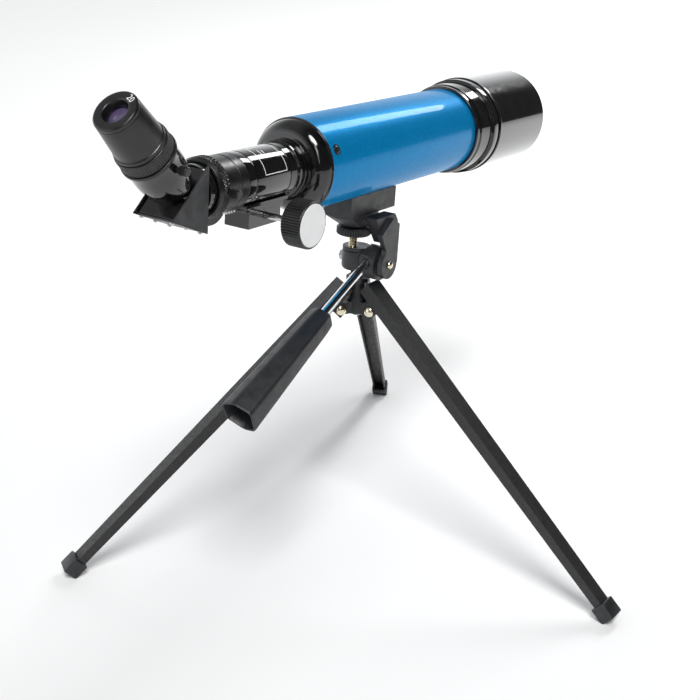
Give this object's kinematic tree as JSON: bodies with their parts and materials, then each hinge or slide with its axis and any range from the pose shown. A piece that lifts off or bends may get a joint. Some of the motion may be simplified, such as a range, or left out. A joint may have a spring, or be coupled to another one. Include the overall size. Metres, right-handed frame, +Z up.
{
  "type": "telescope on tripod",
  "caption": "Small refracting telescope with a diagonal and eyepiece, on a folding table tripod with a pan and tilt head.",
  "frame": {"origin": "middle of the footprint bounding box, on the table", "axes": "+X horizontally towards the objective, -Y towards the near focus knob, +Z up"},
  "size_m": [0.468, 0.3508, 0.3672],
  "materials": {
    "blue_paint": "gloss metallic blue lacquer",
    "gloss_black": "gloss black",
    "satin_black": "satin black anodised",
    "matt_grey": "matt charcoal grey",
    "textured_black": "fine textured black powder coat",
    "white_disc": "white insert",
    "chrome": "polished",
    "brass_nickel": "nickel-washed brass",
    "steel": "turned steel",
    "lens_glass": "coated optical glass"
  },
  "bodies": {
    "hub": {"tripod_hub": "matt_grey", "pan_screw": "steel"},
    "leg_left": {"leg_1": "textured_black", "foot_cap_1": "matt_grey", "leg_rivet_1": "brass_nickel"},
    "leg_right": {"leg_2": "textured_black", "foot_cap_2": "matt_grey", "leg_rivet_2": "brass_nickel"},
    "leg_rear": {"leg_3": "textured_black", "foot_cap_3": "matt_grey", "leg_rivet_3": "brass_nickel"},
    "pan": {"pan_base": "matt_grey"},
    "telescope": {"tilt_head": "matt_grey", "camera_plate": "matt_grey", "stud_screw": "brass_nickel", "tilt_arm": "matt_grey", "tilt_bolt": "brass_nickel", "tilt_nut": "steel", "mount_block": "matt_grey", "main_tube": "blue_paint", "tube_screw_1": "satin_black", "tube_screw_2": "satin_black", "tube_screw_3": "satin_black", "objective_cell": "gloss_black", "crown_lens": "lens_glass", "flint_lens": "lens_glass", "lens_spacer": "satin_black", "lens_retainer": "satin_black", "focuser_body": "gloss_black", "pinion_cover": "satin_black", "pinion_cover_screw_1": "steel", "pinion_cover_screw_2": "steel"},
    "handle": {"handle_rod": "chrome", "handle_grip": "matt_grey"},
    "ring_nut": {"lock_ring": "satin_black"},
    "focus_shaft": {"pinion_shaft": "steel", "focus_knob_near": "satin_black", "focus_knob_far": "satin_black", "knob_face_near": "white_disc", "knob_face_far": "white_disc"},
    "drawtube": {"drawtube": "satin_black", "focus_rack": "steel", "drawtube_collar": "satin_black"},
    "nose_screw": {"nose_thumbscrew": "satin_black"},
    "diagonal": {"diagonal_nosepiece": "satin_black", "diagonal_housing": "satin_black", "diagonal_plate_near": "matt_grey", "diagonal_plate_far": "matt_grey", "diagonal_base_plate": "matt_grey", "base_screw_1": "steel", "base_screw_2": "steel", "diagonal_prism": "lens_glass", "eyepiece_socket": "satin_black"},
    "eyepiece_screw": {"eyepiece_thumbscrew": "satin_black"},
    "eyepiece": {"eyepiece_tube": "chrome", "eyepiece_body": "satin_black", "eyepiece_grip_ring": "satin_black", "eye_lens": "lens_glass", "field_lens": "lens_glass"},
    "dew_shield": {"dew_shield": "gloss_black"}
  },
  "joints": [
    {"name": "pan", "type": "hinge", "parent": "hub", "child": "pan", "pos_m": [0.01215, 0.04606, 0.19], "axis": [0, 0, 1], "range_deg": [-240, 120]},
    {"name": "tilt", "type": "hinge", "parent": "pan", "child": "telescope", "pos_m": [0.01215, 0.04606, 0.21], "axis": [0, -1, 0], "range_deg": [-26, 40]},
    {"name": "handle_twist", "type": "hinge", "parent": "telescope", "child": "handle", "pos_m": [0.01018, 0.03306, 0.21513], "axis": [-0.9336, 0, -0.3584], "range_deg": [-180, 180]},
    {"name": "ring_nut_spin", "type": "hinge", "parent": "telescope", "child": "ring_nut", "pos_m": [0.00378, 0.04606, 0.2107], "axis": [0.0837, 0, 0.9965], "continuous": true},
    {"name": "focus_knob_turn", "type": "hinge", "parent": "telescope", "child": "focus_shaft", "pos_m": [-0.10932, 0.04606, 0.27519], "axis": [0, -1, 0], "range_deg": [0, 470]},
    {"name": "drawtube_slide", "type": "slide", "parent": "telescope", "child": "drawtube", "axis": [-0.9965, 0, 0.0837], "range_m": [0, 0.0393]},
    {"name": "nose_screw_turn", "type": "hinge", "parent": "drawtube", "child": "nose_screw", "pos_m": [-0.15514, 0.04606, 0.30202], "axis": [0, -1, 0], "range_deg": [0, 360]},
    {"name": "diagonal_turn", "type": "hinge", "parent": "drawtube", "child": "diagonal", "pos_m": [-0.06555, 0.04606, 0.2945], "axis": [0.9965, 0, -0.0837], "continuous": true},
    {"name": "eyepiece_screw_turn", "type": "hinge", "parent": "diagonal", "child": "eyepiece_screw", "pos_m": [-0.19517, 0.04606, 0.32391], "axis": [0, -1, 0], "range_deg": [0, 360]},
    {"name": "eyepiece_slide", "type": "slide", "parent": "diagonal", "child": "eyepiece", "axis": [-0.6361, 0, 0.7716], "range_m": [0, 0.022]},
    {"name": "dew_shield_slide", "type": "slide", "parent": "telescope", "child": "dew_shield", "axis": [0.9965, 0, -0.0837], "range_m": [0, 0.015]},
    {"name": "leg_left_fold", "type": "hinge", "parent": "hub", "child": "leg_left", "pos_m": [-0.00027, 0.05447, 0.175], "axis": [-0.5606, -0.8281, 0], "range_deg": [0, 46]},
    {"name": "leg_right_fold", "type": "hinge", "parent": "hub", "child": "leg_right", "pos_m": [0.01108, 0.0311, 0.175], "axis": [0.9974, -0.0715, 0], "range_deg": [0, 46]},
    {"name": "leg_rear_fold", "type": "hinge", "parent": "hub", "child": "leg_rear", "pos_m": [0.02564, 0.05262, 0.175], "axis": [-0.4368, 0.8996, 0], "range_deg": [0, 46]}
  ],
  "couplings": [
    {"joint": "focus_knob_turn", "follows": "drawtube_slide", "rad_per_m": 208.33}
  ]
}
